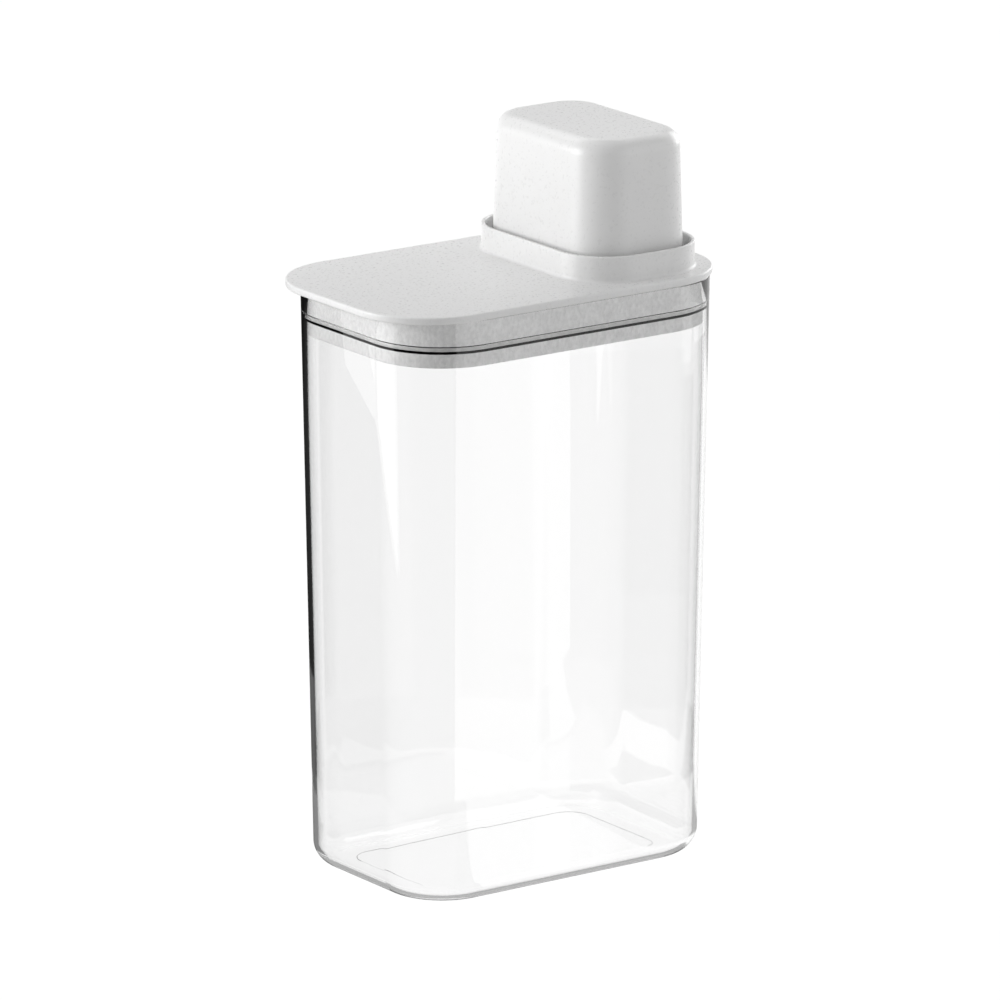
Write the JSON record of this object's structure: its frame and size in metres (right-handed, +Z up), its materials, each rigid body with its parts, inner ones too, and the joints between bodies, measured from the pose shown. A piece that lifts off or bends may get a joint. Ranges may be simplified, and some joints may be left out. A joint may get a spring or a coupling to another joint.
{
  "type": "storage jar",
  "caption": "Clear tapered storage jar with a white plug-in lid, a raised pouring spout in a collar, and a measuring cup that stands mouth down over the spout as its cap.",
  "frame": {"origin": "middle of the jar's base, on the surface that it stands on", "axes": "+Z up, +X from the lift tab towards the spout and cup"},
  "size_m": [0.1436, 0.0944, 0.2622],
  "materials": {
    "clear_plastic": "polished clear moulded plastic",
    "white_plastic": "satin white moulded plastic",
    "silicone": "milky translucent silicone"
  },
  "bodies": {
    "jar": {"jar_body": "clear_plastic"},
    "lid": {"lid": "white_plastic", "lid_seal": "silicone", "spout_seal": "silicone"},
    "cup": {"measuring_cup": "white_plastic"}
  },
  "joints": [
    {"name": "lid_lift", "type": "slide", "parent": "jar", "child": "lid", "axis": [0, 0, 1], "range_m": [0, 0.06]},
    {"name": "cup_lift", "type": "slide", "parent": "lid", "child": "cup", "axis": [0, 0, 1], "range_m": [0, 0.06]}
  ]
}
